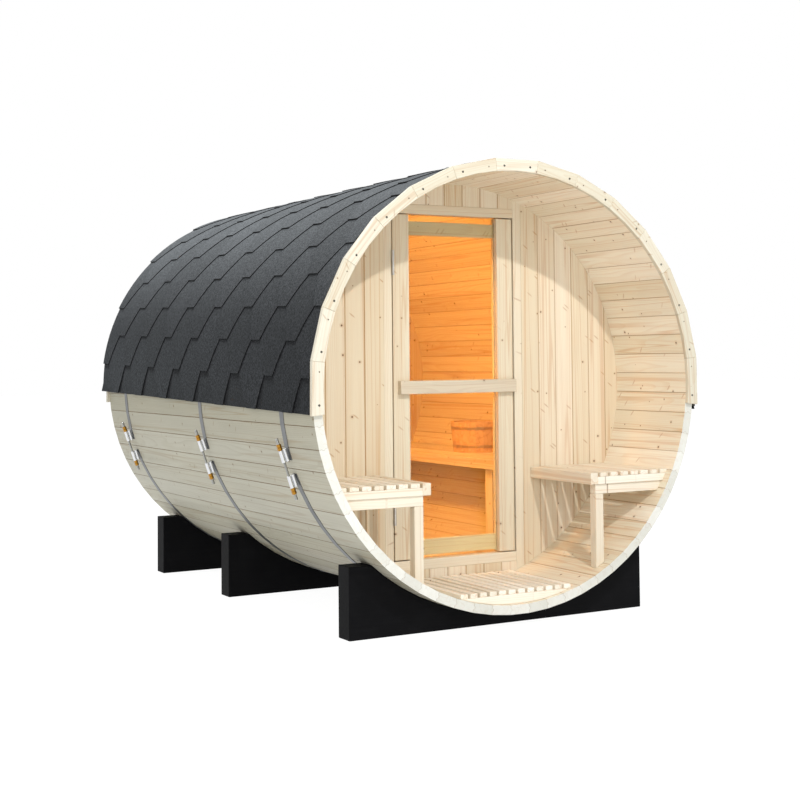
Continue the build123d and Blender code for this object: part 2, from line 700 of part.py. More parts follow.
# Ladle standing in the bucket, its handle leaning on the rim
cup_bottom = bucket_floor + seat_gap
handle_x = ladle_cup_x + ladle_cup_radius - ladle_cup_wall / 2
handle_lift = cup_bottom + ladle_cup_depth - ladle_handle_radius
rim_x = bucket_rim_radius - bucket_wall - handle_x
rim_lift = bucket_height - handle_lift
lean = degrees(atan2(rim_x, rim_lift) - asin((ladle_handle_radius + seat_gap) / hypot(rim_x, rim_lift)))
with BuildPart() as ladle:
    for lift, radius, height, mode in (
        (cup_bottom, ladle_cup_radius, ladle_cup_depth, Mode.ADD),
        (cup_bottom + ladle_cup_wall, ladle_cup_radius - ladle_cup_wall, ladle_cup_depth, Mode.SUBTRACT),
    ):
        with BuildSketch(bucket_place.offset(lift)):
            with Locations((ladle_cup_x, 0)):
                RegularPolygon(radius, 12, major_radius=False, rotation=15)
        extrude(amount=height, mode=mode)
    handle_start = bucket_place.from_local_coords(Vector(handle_x, 0, handle_lift))
    with BuildSketch(Plane(handle_start, z_dir=(sin(radians(lean)), 0, cos(radians(lean))))):
        RegularPolygon(ladle_handle_radius, 8)
    extrude(amount=ladle_handle_length)
save(ladle.part, "ladle")
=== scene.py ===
# %% [markdown]
# # A barrel sauna, dressed for its portrait
#
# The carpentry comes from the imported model, which already stands in the right place at the right size.
# This script gives every piece its surface: eased and grained spruce, black stained cradles, six-sided
# bitumen shingles, zinc-plated tensioners and a pale amber pane with a warm lamp behind it.
#
# Everything is in metres. X points right as seen from the porch, Y towards the back, Z up, and the ground
# is Z = 0.

# %% Load the carpentry
import json
import math
import random

import bmesh
import bpy
from mathutils import Matrix, Vector

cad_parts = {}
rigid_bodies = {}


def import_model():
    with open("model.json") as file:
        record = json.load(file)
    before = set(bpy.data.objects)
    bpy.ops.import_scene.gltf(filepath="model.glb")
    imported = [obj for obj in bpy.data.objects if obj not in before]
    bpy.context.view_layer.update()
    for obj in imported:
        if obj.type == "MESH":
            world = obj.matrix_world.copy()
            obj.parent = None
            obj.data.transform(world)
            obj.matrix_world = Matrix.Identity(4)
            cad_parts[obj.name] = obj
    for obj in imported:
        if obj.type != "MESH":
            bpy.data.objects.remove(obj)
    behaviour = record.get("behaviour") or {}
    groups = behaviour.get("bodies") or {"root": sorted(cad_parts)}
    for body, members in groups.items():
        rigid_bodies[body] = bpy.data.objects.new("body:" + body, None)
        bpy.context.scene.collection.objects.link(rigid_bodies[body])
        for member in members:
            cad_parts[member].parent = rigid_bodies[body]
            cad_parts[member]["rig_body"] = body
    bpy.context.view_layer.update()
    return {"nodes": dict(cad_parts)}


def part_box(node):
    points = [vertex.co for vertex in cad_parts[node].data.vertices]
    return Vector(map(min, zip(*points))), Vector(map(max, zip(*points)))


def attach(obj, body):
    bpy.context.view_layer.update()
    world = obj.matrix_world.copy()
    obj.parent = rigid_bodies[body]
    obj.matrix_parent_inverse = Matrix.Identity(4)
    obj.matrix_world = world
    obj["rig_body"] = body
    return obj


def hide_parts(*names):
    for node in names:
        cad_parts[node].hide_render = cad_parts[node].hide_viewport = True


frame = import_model()
nodes = frame["nodes"]
print("pieces from the workshop:", len(nodes))

# %% [markdown]
# ## Sizes to measure from
#
# The barrel is round, so most places are easiest to say as a radius and an angle about its axis. The
# radius is the staves' own, and the axis lies one radius above the lowest stave.

# %% Sizes of the barrel
BARREL_RADIUS = 0.900
STAVE_THICKNESS = 0.037
STAVE_COUNT = 64
INNER_RADIUS = BARREL_RADIUS - STAVE_THICKNESS

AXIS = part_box("staves_bottom")[0].z + BARREL_RADIUS
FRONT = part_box("staves_bottom")[0].y
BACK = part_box("staves_bottom")[1].y
print("axis height", round(AXIS, 4), "staves from", round(FRONT, 4), "to", round(BACK, 4))


def around(radius, degrees, y):
    """A point at a radius and an angle about the barrel's axis, counted from the right towards the top."""
    turn = math.radians(degrees)
    return Vector((radius * math.cos(turn), y, AXIS + radius * math.sin(turn)))


# %% [markdown]
# ## Shader maths as plain expressions
#
# A wood or shingle finish is a page of arithmetic. Wiring Math nodes by hand hides it, so one small class
# wraps a socket and lets Python's operators add the nodes: `1 - mask` and `a * b + c` read as they would
# on paper. Every other node comes from the one method `node`.

# %% The expression class
class Wire:
    """An output socket of a material, on which Python's operators add Math nodes."""

    def __init__(self, tree, socket=None):
        self.tree = tree
        self.socket = socket

    def node(self, kind, settings=None, sockets=None, out=0):
        """A new node of any kind: its settings first, then the values or links of its sockets."""
        made = self.tree.nodes.new("ShaderNode" + kind)
        for name, value in (settings or {}).items():
            setattr(made, name, value)
        for name, value in (sockets or {}).items():
            if isinstance(value, Wire):
                self.tree.links.new(value.socket, made.inputs[name])
            else:
                made.inputs[name].default_value = value
        return Wire(self.tree, made.outputs[out] if made.outputs else None)

    def maths(self, operation, *others):
        """A Math node on this socket and the other values."""
        values = dict(enumerate((self, *others)))
        return self.node("Math", {"operation": operation}, values)

    def __add__(self, other):
        return self.maths("ADD", other)

    def __radd__(self, other):
        return self.maths("ADD", other)

    def __sub__(self, other):
        return self.maths("SUBTRACT", other)

    def __rsub__(self, other):
        return self.node("Math", {"operation": "SUBTRACT"}, {0: other, 1: self})

    def __mul__(self, other):
        return self.maths("MULTIPLY", other)

    def __rmul__(self, other):
        return self.maths("MULTIPLY", other)

    def __truediv__(self, other):
        return self.maths("DIVIDE", other)

    def __rtruediv__(self, other):
        return self.node("Math", {"operation": "DIVIDE"}, {0: other, 1: self})

    def root(self):
        """The square root."""
        return self.maths("SQRT")

    def part(self):
        """What is left after the whole number."""
        return self.maths("FRACT")

    def ramp(self, low, high, smooth=True):
        """0 below low and 1 above high, with a soft step between. High may be the smaller."""
        sockets = {"Value": self, "From Min": low, "From Max": high}
        kind = "SMOOTHSTEP" if smooth else "LINEAR"
        return self.node("MapRange", {"interpolation_type": kind, "clamp": True}, sockets)

    def mix(self, first, second):
        """A colour mixed from first to second by this mask."""
        sockets = {"Factor": self, 6: first, 7: second}
        return self.node("Mix", {"data_type": "RGBA"}, sockets, out=2)

    def split(self):
        """The three numbers of a vector."""
        made = self.node("SeparateXYZ", None, {"Vector": self})
        outputs = made.socket.node.outputs
        return [Wire(self.tree, outputs[axis]) for axis in range(3)]

    def noise(self, scale, detail, roughness, size=(1, 1, 1)):
        """Smooth noise on this vector, stretched by a size along each axis."""
        stretched = self.node("VectorMath", {"operation": "MULTIPLY"}, {0: self, 1: size})
        sockets = {"Vector": stretched, "Scale": scale, "Detail": detail, "Roughness": roughness}
        return self.node("TexNoise", None, sockets)


def rgb(colour):
    """A colour as a socket takes it."""
    return (*colour, 1.0)


class Finish:
    """A new material with its Principled shader, ready for expressions."""

    def __init__(self, name, **values):
        self.material = bpy.data.materials.new(name)
        self.material.use_nodes = True
        self.tree = self.material.node_tree
        self.shader = self.tree.nodes["Principled BSDF"]
        for socket, value in values.items():
            self.set(socket.replace("_", " "), value)

    def set(self, socket, value):
        """Sets or links one socket of the Principled shader."""
        if isinstance(value, Wire):
            self.tree.links.new(value.socket, self.shader.inputs[socket])
        else:
            self.shader.inputs[socket].default_value = value

    def start(self):
        """A wire with no socket, to add first nodes with."""
        return Wire(self.tree)

    def place(self):
        """Object coordinates, in metres."""
        return self.start().node("TexCoord", out="Object")

    def attribute(self, name, out="Vector"):
        """One of a piece's own attributes."""
        return self.start().node("Attribute", {"attribute_name": name}, out=out)

    def bump(self, height, distance, strength):
        """Links a height, in parts of a distance in metres, as bump."""
        sockets = {"Height": height, "Distance": distance, "Strength": strength}
        self.set("Normal", self.start().node("Bump", None, sockets))

    def blend(self, share, other):
        """Mixes another shader over the Principled one."""
        solid = Wire(self.tree, self.shader.outputs["BSDF"])
        both = other.node("MixShader", None, {0: share, 1: solid, 2: other})
        output = self.tree.nodes["Material Output"]
        self.tree.links.new(both.socket, output.inputs["Surface"])


def added(name, data):
    """A new object in the scene, made from its data."""
    made = bpy.data.objects.new(name, data)
    bpy.context.scene.collection.objects.link(made)
    return made


# %% [markdown]
# ## Spruce, as a log would have it
#
# Sawn timber shows one thing from every side: the rings of its log. A flat stripe pattern can't turn a
# corner, so this finish works in three dimensions. Each board knows where it lay in a log, as a place
# along, across and into the grain. The distance from the log's heart gives the rings, which come out as
# long streaks on the faces and as arcs on the ends. A branch grows straight out through the board, so
# knots are scattered over its length and width only and show on both faces at the same place. Where the
# saw met a thin branch lengthwise, it left a leaning dash.

# %% The spruce finish
RING_WIDTH = 0.0062
KNOT_CELL = 0.115
SPIKE_CELL = 0.14
SPIKE_SLIMNESS = 5.0
SPIKE_LEAN = math.radians(52)
KNOT_RARITY, KNOT_SIZE, KNOT_LEAST, HALO_REACH = 0.42, 0.048, 0.0005, 2.6
SPIKE_OUTER, SPIKE_INNER, SPIKE_NONE, SPIKE_FULL = 0.15, 0.06, 0.86, 0.90
KNOT_COLOUR = (0.115, 0.052, 0.022)
WEATHER_GREY = (0.36, 0.35, 0.29)
SEAM_COLOUR = (0.34, 0.29, 0.22)
RING_SHARE, BAND_SHARE, FIBRE_SHARE, STREAK_SHARE = 0.38, 0.38, 0.16, 0.52
SPIKE_SHARE, HALO_SHARE, KNOT_SHARE, SEAM_SHARE = 0.5, 0.32, 0.92, 0.34
BEAD_REACH, BEAD_FLAT, BEAD_DEPTH = 0.0075, 0.003, 0.005
SEAM_OUTER, SEAM_INNER = 0.0018, 0.0004


def tinted(colour, *factors):
    """A colour with each channel times its factor."""
    return rgb([channel * factor for channel, factor in zip(colour, factors)])


def scattered(vector, cell):
    """How far the nearest of some scattered points is, in cells, and a random number of its own."""
    sockets = {"Vector": vector, "Scale": 1 / cell, "Randomness": 1.0}
    near = vector.node("TexVoronoi", {"voronoi_dimensions": "2D"}, sockets, out="Distance")
    own = Wire(vector.tree, near.socket.node.outputs["Color"])
    return near, own.split()[0]


def knot_marks(grain):
    """Round knots, and the darker wood round them. A branch goes straight through a board."""
    near, own = scattered(grain, KNOT_CELL)
    size = own.ramp(KNOT_RARITY, 1.0, False) * KNOT_SIZE + KNOT_LEAST
    return near.ramp(size, size * 0.5), near.ramp(size * HALO_REACH, size)


def spike_marks(grain):
    """Thin branches that the saw cut lengthwise, as leaning dashes."""
    turned = {"Vector": grain, "Angle": SPIKE_LEAN}
    leaning = grain.node("VectorRotate", {"rotation_type": "Z_AXIS"}, turned)
    slim = leaning.node("VectorMath", {"operation": "MULTIPLY"}, {0: leaning, 1: (1, SPIKE_SLIMNESS, 1)})
    near, own = scattered(slim, SPIKE_CELL)
    return near.ramp(SPIKE_OUTER, SPIKE_INNER) * own.ramp(SPIKE_NONE, SPIKE_FULL)


def stave_seams(finish):
    """1 along the joints of the staves, with their beads, as they show on the sawn ends."""
    x, _, z = finish.place().split()
    height = z - AXIS
    radius = (x * x + height * height).root()
    off_middle = (radius - (BARREL_RADIUS - STAVE_THICKNESS / 2)).maths("ABSOLUTE")
    bead = off_middle.ramp(BEAD_REACH, BEAD_FLAT) * BEAD_DEPTH
    width = radius * math.radians(360 / STAVE_COUNT)
    turn = height.maths("ARCTAN2", x) / math.radians(360 / STAVE_COUNT)
    share = (turn - bead / width + 0.5).part().maths("PINGPONG", 0.5)
    return (share * width).ramp(SEAM_OUTER, SEAM_INNER)


def spruce(name, pale, dark, knots=1.0, rings=1.0, grey=0.0, seams=False):
    """Planed spruce. Pale and dark are the colours of early and late wood."""
    finish = Finish(name, Roughness=0.6, Specular_IOR_Level=0.3)
    grain = finish.attribute("grain")
    tone = finish.attribute("tone", "Fac")

    sway = grain.noise(1.0, 2.0, 0.5, (1.3, 9.0, 9.0))
    knot, knot_edge = knot_marks(grain)
    along, across, depth = grain.split()
    heart = (across * across + depth * depth).root()
    ring_place = (heart + sway * 0.05 + knot_edge * 0.004) / RING_WIDTH
    ring = ring_place.part()
    late = ring.ramp(0.45, 0.95) * ring.ramp(1.0, 0.96)
    bands = grain.noise(1.0, 3.0, 0.6, (0.8, 34.0, 34.0)).ramp(0.35, 0.72)
    fibre = grain.noise(1.0, 2.0, 0.7, (9.0, 420.0, 420.0))
    vein = grain.noise(1.0, 1.0, 0.4, (0.45, 26.0, 26.0))
    streak = vein.ramp(0.470, 0.5) * vein.ramp(0.530, 0.5)

    wood = (late * RING_SHARE * rings + bands * BAND_SHARE).mix(rgb(pale), rgb(dark))
    wood = (fibre.ramp(0.3, 0.8) * FIBRE_SHARE).mix(wood, tinted(pale, 0.84, 0.84, 0.84))
    wood = (streak * STREAK_SHARE * rings).mix(wood, tinted(dark, 0.88, 0.74, 0.62))
    wood = (spike_marks(grain) * SPIKE_SHARE * knots).mix(wood, tinted(dark, 0.66, 0.46, 0.32))
    wood = (knot_edge * HALO_SHARE * knots).mix(wood, tinted(dark, 0.8, 0.62, 0.46))
    wood = (knot * KNOT_SHARE * knots).mix(wood, rgb(KNOT_COLOUR))
    if grey:
        weather = finish.place().noise(3.1, 4.0, 0.6, (1.0, 0.35, 1.0)).ramp(0.3, 0.75)
        wood = (weather * grey).mix(wood, rgb(WEATHER_GREY))
    if seams:
        wood = (stave_seams(finish) * SEAM_SHARE).mix(wood, rgb(SEAM_COLOUR))
    brighten = {"Value": tone * 0.16 + 0.92, "Saturation": 1.16 - tone * 0.30, "Color": wood}
    finish.set("Base Color", wood.node("HueSaturation", None, brighten))
    finish.set("Roughness", fibre * 0.16 + 0.5)
    finish.bump(late * 0.4 + fibre * 0.5 - knot * 0.3, 0.0004, 0.5)
    return finish.material


WALL_SPRUCE = spruce("wall_spruce", (0.78, 0.69, 0.535), (0.68, 0.52, 0.355))
PORCH_SPRUCE = spruce("porch_spruce", (0.87, 0.80, 0.65), (0.77, 0.61, 0.43))
TRIM_SPRUCE = spruce("trim_spruce", (0.70, 0.655, 0.535), (0.61, 0.51, 0.37), knots=0.8)
DOOR_SPRUCE = spruce("door_spruce", (0.76, 0.68, 0.53), (0.67, 0.53, 0.37), knots=0.85)
BENCH_SPRUCE = spruce("bench_spruce", (0.85, 0.78, 0.65), (0.76, 0.63, 0.48), knots=0.7)
# The floors' spruce is paler than the benches' as painted light: it stands in for the light that falls on
# the floor.
PAINTED_LIGHT_FLOOR_SPRUCE = spruce("painted_light_floor_spruce", (0.93, 0.88, 0.77), (0.84, 0.72, 0.56), knots=0.7)
HANDLE_SPRUCE = spruce("handle_spruce", (0.62, 0.535, 0.40), (0.52, 0.40, 0.27), knots=0.9)
OUTER_SPRUCE = spruce("outer_spruce", (0.53, 0.50, 0.40), (0.42, 0.38, 0.28), knots=0.9, grey=0.35)
END_SPRUCE = spruce("stave_end_spruce", (0.76, 0.755, 0.70), (0.66, 0.64, 0.56), knots=0.1, rings=0.35,
                    seams=True)
# The two joint finishes are darker spruce: painted shade in the joints.
JOINT_SHADE_SPRUCE = spruce("joint_shade_spruce", (0.62, 0.47, 0.31), (0.50, 0.35, 0.22), knots=0.0)
OUTER_JOINT_SHADE_SPRUCE = spruce("outer_joint_shade_spruce", (0.27, 0.205, 0.13), (0.19, 0.14, 0.085), knots=0.0)
PAIL_PINE = spruce("pail_pine", (0.80, 0.56, 0.30), (0.62, 0.36, 0.16), knots=0.3)

# %% [markdown]
# ## Boards with eased edges
#
# A planed board has slightly rounded edges, which catch the light and show where one board ends and the
# next starts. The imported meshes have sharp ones. Each wooden piece is therefore a merged copy of its
# node: `dissolve_limit` makes its flat faces whole again and `bevel` eases the corners. Then each board
# in it is measured along its own longest direction, and every face corner gets its place in the log as
# the attribute that the finish reads.

# %% Cut loose boards apart and measure them
dice = random.Random(64)
SHARP_CORNER, FLAT_WITHIN = math.radians(40), math.radians(0.4)
MERGE_WITHIN = 2e-6
AXIS_STEPS = 40
LOG_START, LOG_ACROSS, LOG_DEPTH = (0, 40), (-0.05, 0.05), (0.03, 0.11)
STAVE_EASE, TRIM_EASE, DOOR_EASE, BENCH_EASE, CRADLE_EASE = 0.0016, 0.0022, 0.002, 0.0025, 0.003


def copy_of(name):
    """A node's mesh with its corners merged and its flat faces whole."""
    mesh = bmesh.new()
    mesh.from_mesh(nodes[name].data)
    bmesh.ops.remove_doubles(mesh, verts=mesh.verts, dist=MERGE_WITHIN)
    bmesh.ops.dissolve_limit(mesh, angle_limit=FLAT_WITHIN, verts=mesh.verts, edges=mesh.edges)
    return mesh


def islands(mesh):
    """The faces of each separate board."""
    left = set(mesh.faces)
    found = []
    while left:
        first = min(left, key=lambda face: face.index)
        board, border = {first}, [first]
        while border:
            face = border.pop()
            for edge in face.edges:
                for other in edge.link_faces:
                    if other not in board:
                        board.add(other)
                        border.append(other)
        left -= board
        found.append(sorted(board, key=lambda face: face.index))
    return found


def main_axes(points):
    """The middle of some points, and their directions from the longest to the thinnest."""
    middle = sum(points, Vector()) / len(points)
    spread = Matrix(((0, 0, 0), (0, 0, 0), (0, 0, 0)))
    for point in points:
        away = point - middle
        for row in range(3):
            spread[row] += away * away[row]
    longest = spread @ Vector((1.0, 0.9, 0.8))
    for _ in range(AXIS_STEPS):
        longest = (spread @ longest).normalized()
    flat = spread.copy()
    power = longest.dot(spread @ longest)
    for row in range(3):
        flat[row] -= longest * (longest[row] * power)
    second = flat @ Vector((0.8, 0.9, 1.0)).cross(longest)
    for _ in range(AXIS_STEPS):
        second = (flat @ second).normalized()
    return middle, longest, second, longest.cross(second)


def lay_in_log(faces, grain, tone, axes):
    """Gives the corners of one board their place along, across and into a log."""
    middle, long_way, wide_way, deep_way = axes
    shift = Vector((dice.uniform(*LOG_START), dice.uniform(*LOG_ACROSS), dice.uniform(*LOG_DEPTH)))
    shade = dice.random()
    for face in faces:
        for loop in face.loops:
            away = loop.vert.co - middle
            loop[grain] = Vector((away.dot(long_way), away.dot(wide_way), away.dot(deep_way))) + shift
            loop[tone] = shade


def finished(mesh, name, body, materials, smooth=None):
    """Turns a bmesh into a piece that rides on a body."""
    data = bpy.data.meshes.new(name)
    mesh.to_mesh(data)
    mesh.free()
    for material in materials:
        data.materials.append(material)
    if smooth is not None:
        data.shade_smooth()
        data.set_sharp_from_angle(angle=math.radians(smooth))
    piece = added(name, data)
    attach(piece, body)
    return piece


body_of = {node: nodes[node]["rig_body"] for node in nodes}


def timber(node, materials, ease, edge_test=None, face_slot=None, board_test=None):
    """A wooden node as eased boards. Returns how many triangles it has.

    The tests choose the edges to ease, the finish of a face and the board that a place belongs to.
    """
    mesh = copy_of(node)
    edges = [edge for edge in mesh.edges
             if len(edge.link_faces) == 2 and edge.is_convex and edge.calc_face_angle() > SHARP_CORNER
             and (edge_test is None or edge_test(edge))]
    if ease:
        bmesh.ops.bevel(mesh, geom=edges, offset=ease, offset_type="OFFSET", segments=2, profile=0.5,
                        affect="EDGES", material=-1, clamp_overlap=True)
    mesh.faces.index_update()
    grain = mesh.loops.layers.float_vector.new("grain")
    tone = mesh.loops.layers.float.new("tone")
    for faces in islands(mesh):
        corners = {vert for face in faces for vert in face.verts}
        axes = main_axes([vert.co for vert in sorted(corners, key=lambda vert: tuple(vert.co))])
        if board_test is None:
            lay_in_log(faces, grain, tone, axes)
            continue
        groups = {}
        for face in faces:
            groups.setdefault(board_test(face.calc_center_median()), []).append(face)
        upright = (axes[0], Vector((0, 0, 1)), Vector((1, 0, 0)), Vector((0, 1, 0)))
        for key in sorted(groups):
            lay_in_log(groups[key], grain, tone, upright)
    if face_slot:
        for face in mesh.faces:
            face.material_index = face_slot(face)
    triangles = sum(len(face.verts) - 2 for face in mesh.faces)
    piece = finished(mesh, node + "_timber", body_of[node], materials)
    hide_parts(node)
    return triangles


# %% [markdown]
# ## The shell
#
# Sixty-four staves lie round the barrel. Their outer and inner corners are eased, while the bead and cove
# inside the joints stay as they are, because nothing shows there. The eased corners are painted darker,
# as painted shade in the joints, which draws the line of each joint. The outside has greyed in the open,
# and the sawn ends show their rings and the curve of the bead.

# %% Staves
INSIDE, OUTSIDE, END, SEAM, OUTER_JOINT = 0, 1, 2, 3, 4
EDGE_BAND = 0.004
FLAT_FACE, END_FACE, SLANT_FACE = 0.96, 0.7, 0.3
LONG_EDGE = 0.05


def from_axis(point):
    """The distance of a point from the barrel's axis."""
    return math.hypot(point.x, point.z - AXIS)


def stave_edge(edge):
    """The long edges on the outside and the inside of the barrel."""
    distance = [from_axis(vert.co) for vert in edge.verts]
    at_face = min(distance) > BARREL_RADIUS - EDGE_BAND or max(distance) < INNER_RADIUS + EDGE_BAND
    run = edge.verts[0].co - edge.verts[1].co
    return at_face and abs(run.y) > LONG_EDGE


def stave_face(face):
    """Which finish a face of a stave has."""
    if abs(face.normal.y) > END_FACE:
        return END
    middle = face.calc_center_median()
    outward = face.normal.dot(Vector((middle.x, 0, middle.z - AXIS)).normalized())
    # The faces of the eased corners at the joints get the painted joint shade.
    if abs(outward) < FLAT_FACE:
        return OUTER_JOINT if from_axis(middle) > BARREL_RADIUS - EDGE_BAND else SEAM
    return OUTSIDE if outward > 0 else INSIDE


shell = [PORCH_SPRUCE, OUTER_SPRUCE, END_SPRUCE, JOINT_SHADE_SPRUCE, OUTER_JOINT_SHADE_SPRUCE]
segments = ("bottom", "lower_right", "right", "upper_right", "top", "upper_left", "left", "lower_left")
count = sum(timber("staves_" + name, shell, STAVE_EASE, stave_edge, stave_face) for name in segments)
print("stave triangles", count)

# %% [markdown]
# ## Walls
#
# The walls are tongue-and-groove boards side by side, and in the imported model each piece of wall is one
# solid. A board is therefore told by its place across the wall instead of by its outline, so that each
# gets a grain of its own. The slanting faces of the V-joints are painted darker, as painted shade in the
# joints.

# %% Walls
BOARD_PITCH = 0.090
POST_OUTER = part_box("door_frame")[1].x


def middle_board(point):
    """Which board of a middle wall a point lies on."""
    return math.floor(point.x / BOARD_PITCH + 0.5)


def side_board(point):
    """Which board beside the doorway a point lies on."""
    side = 1 if point.x > 0 else -1
    return side * (1 + math.floor((abs(point.x) - POST_OUTER) / BOARD_PITCH))


def wall_face(face):
    """1 for the slanting faces of the V-joints, which get the painted joint shade, and 0 for the boards."""
    return 1 if SLANT_FACE < abs(face.normal.y) < FLAT_FACE else 0


for node in ("front_wall_left", "front_wall_right"):
    timber(node, [WALL_SPRUCE, JOINT_SHADE_SPRUCE], 0, board_test=side_board, face_slot=wall_face)
for node in ("front_wall_over_door", "front_wall_under_door", "rear_wall"):
    timber(node, [WALL_SPRUCE, JOINT_SHADE_SPRUCE], 0, board_test=middle_board, face_slot=wall_face)

# %% [markdown]
# ## Trim, door, benches and floors
#
# These are loose boards and slats, so each island of faces is one board, which is eased and laid in a log
# by itself. Benches and floors get the widest rounding of them, because people sit and stand there. The
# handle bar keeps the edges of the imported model.

# %% Trim, door, benches and floors
for node in ("front_trim", "rear_trim"):
    timber(node, [TRIM_SPRUCE], TRIM_EASE)
for node in ("door_frame", "door_stiles", "door_rails"):
    timber(node, [DOOR_SPRUCE], DOOR_EASE)
timber("door_handle_bar", [HANDLE_SPRUCE], 0)
for node in sorted(nodes):
    if "bench" in node:
        timber(node, [BENCH_SPRUCE], BENCH_EASE)
    elif "floor" in node:
        timber(node, [PAINTED_LIGHT_FLOOR_SPRUCE], BENCH_EASE)

# %% [markdown]
# ## Screws of the trim
#
# Each trim board is held by a black screw near its lower end and a small brad near its upper one; the board
# at the top has two screws. A head is a short cone with an inset pushed in for the driver. All heads of
# one size make one piece.

# %% Trim screws
TRIM_BOARDS = 15
TRIM_DEGREES = 191.6
SCREW_CIRCLE = 0.883
SCREW_DEGREES = 4.0
SCREW_SIZE, BRAD_SIZE = 0.0047, 0.003
SCREW_PROUD = 0.0006
HEAD_SIDES, HEAD_TAPER, HEAD_RIM = 14, 0.86, 0.38


def screw_head(mesh, size, place, forward):
    """A round head with a driver's recess, facing along Y. Forward is -1 at the front and 1 at the back."""
    head = bmesh.ops.create_cone(mesh, cap_ends=True, segments=HEAD_SIDES, radius1=size,
                                 radius2=size * HEAD_TAPER, depth=2 * SCREW_PROUD)
    turn = Matrix.Rotation(math.radians(-90 * forward), 4, "X")
    top = max({face for vert in head["verts"] for face in vert.link_faces},
              key=lambda face: face.calc_center_median().z)
    inner = bmesh.ops.inset_region(mesh, faces=[top], thickness=size * HEAD_RIM)
    bmesh.ops.translate(mesh, vec=(0, 0, -SCREW_PROUD), verts=top.verts)
    verts = list({vert for face in inner["faces"] + [top] for vert in face.verts} | set(head["verts"]))
    bmesh.ops.transform(mesh, verts=verts, matrix=Matrix.Translation(place) @ turn)


def trim_screws(size, turns, name, material):
    """Heads of one size on both trims, at some degrees about the barrel's axis."""
    mesh = bmesh.new()
    for node, forward in (("front_trim", -1), ("rear_trim", 1)):
        low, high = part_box(node)
        face_y = low.y if forward < 0 else high.y
        for turn in turns:
            screw_head(mesh, size, around(SCREW_CIRCLE, turn, face_y), forward)
    return finished(mesh, name, "cabin", [material], smooth=40)


def screw_finish(name, colour, metallic):
    """Phosphated or brown steel, darker in places."""
    finish = Finish(name, Metallic=metallic)
    cloud = finish.place().noise(900.0, 2.0, 0.6)
    finish.set("Base Color", cloud.ramp(0.3, 0.7).mix(rgb(colour), rgb([c * 0.5 for c in colour])))
    finish.set("Roughness", cloud * 0.3 + 0.4)
    return finish.material


board_turn = TRIM_DEGREES / TRIM_BOARDS
screws, brads = [], []
for board in range(TRIM_BOARDS):
    middle = 90 + (board - TRIM_BOARDS // 2) * board_turn
    lower = 1 if middle > 90.1 else -1
    screws.append(middle + lower * SCREW_DEGREES)
    (brads if abs(middle - 90) > 1 else screws).append(middle - lower * SCREW_DEGREES)
trim_screws(SCREW_SIZE, screws, "trim_screws", screw_finish("black_screw", (0.03, 0.028, 0.026), 0.5))
trim_screws(BRAD_SIZE, brads, "trim_brads", screw_finish("brown_brad", (0.20, 0.13, 0.08), 0.2))
print("screws", 2 * len(screws), "brads", 2 * len(brads))

# %% [markdown]
# ## Black cradles
#
# The cradles are timber under a black stain, so the grain shows only as a faint relief. The stain is a
# shade lighter in places, where it has rubbed thin.

# %% Cradles
def black_stain():
    """Black stained timber."""
    finish = Finish("black_stain", Specular_IOR_Level=0.08)
    grain = finish.attribute("grain")
    cloud = finish.place().noise(6.0, 4.0, 0.6)
    fibre = grain.noise(1.0, 3.0, 0.7, (3.0, 90.0, 90.0))
    worn = (cloud * 0.55 + fibre * 0.45).ramp(0.35, 0.75)
    finish.set("Base Color", worn.mix(rgb((0.0020, 0.0020, 0.0026)), rgb((0.0060, 0.0060, 0.0070))))
    finish.set("Roughness", fibre * 0.25 + 0.5)
    finish.bump(fibre, 0.0006, 0.6)
    return finish.material


BLACK_STAIN = black_stain()
for node in ("cradle_front", "cradle_middle", "cradle_rear"):
    timber(node, [BLACK_STAIN], CRADLE_EASE)

# %% [markdown]
# ## Six-sided shingles
#
# A course of shingles is a strip of bitumen felt with tabs cut along its lower edge. Each course covers
# the upper half of the one below and is shifted by half a tab, which leaves six-sided faces to see. The
# strip is drawn flat, because that is how the real one is cut. Lines cut along it every few degrees let
# it bend, and it is then wrapped round the barrel with its length along Y.
#
# On this roof the courses and the eave rise a little towards the back. The felt lies on the bands, and at
# the back on the boards of the rear trim, so the roof is slightly wider there, and its free corners stand
# off a little. The cut edges show the black bitumen. In the photo the felt gets lighter towards the top.
# That comes from light from above. The lamps alone don't give it here, so it is painted into the finish,
# which gets lighter with height.

# %% Sizes of the roof
LEFT, RIGHT = -1, 1
TAB_PITCH = 0.345
TAB_FOOT = 0.088
EXPOSURE_DEGREES = 8.65
STRIP_EXPOSURES = 2.14
FELT = 0.0034
COURSES = 10
EAVE = {LEFT: -5.61, RIGHT: -7.1}
FIRST_COURSE = 8.53
EAVE_RISE = 3.5
RISE_GAIN = 0.0717
FIRST_TAB = {LEFT: 0.036, RIGHT: 0.120}
TOP_DEGREES = 85.0
ROOF_FRONT = FRONT + 0.0004
ROOF_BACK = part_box("roof_left_upper")[1].y
ROOF_BASE = 0.9030
ROOF_GROWTH = 0.0156
BEND_DEGREES = 2.9
CURL = 0.010
CURL_DEGREES = 3.5
LAP_FOOT, LAP_FALL, CLEAR = 2.03, 1.02, 0.0002
STARTER_EXPOSURES = 1.2
TAB_PLAY = 0.003
# Painted light from above: between these heights the felt's colour gets lighter.
PAINTED_LIGHT_FROM, PAINTED_LIGHT_TO, PAINTED_LIGHT_SHARE = 1.15, 1.90, 0.62
PAINTED_LIGHT_DARK, PAINTED_LIGHT_PALE = (0.078, 0.082, 0.087), (0.200, 0.211, 0.220)

ROOF_LENGTH = ROOF_BACK - ROOF_FRONT
MEASURE = ROOF_BASE * math.pi / 180
EXPOSURE = EXPOSURE_DEGREES * MEASURE
print("shingle exposure", round(EXPOSURE * 1000), "mm on tabs", round(TAB_PITCH * 1000), "mm wide")


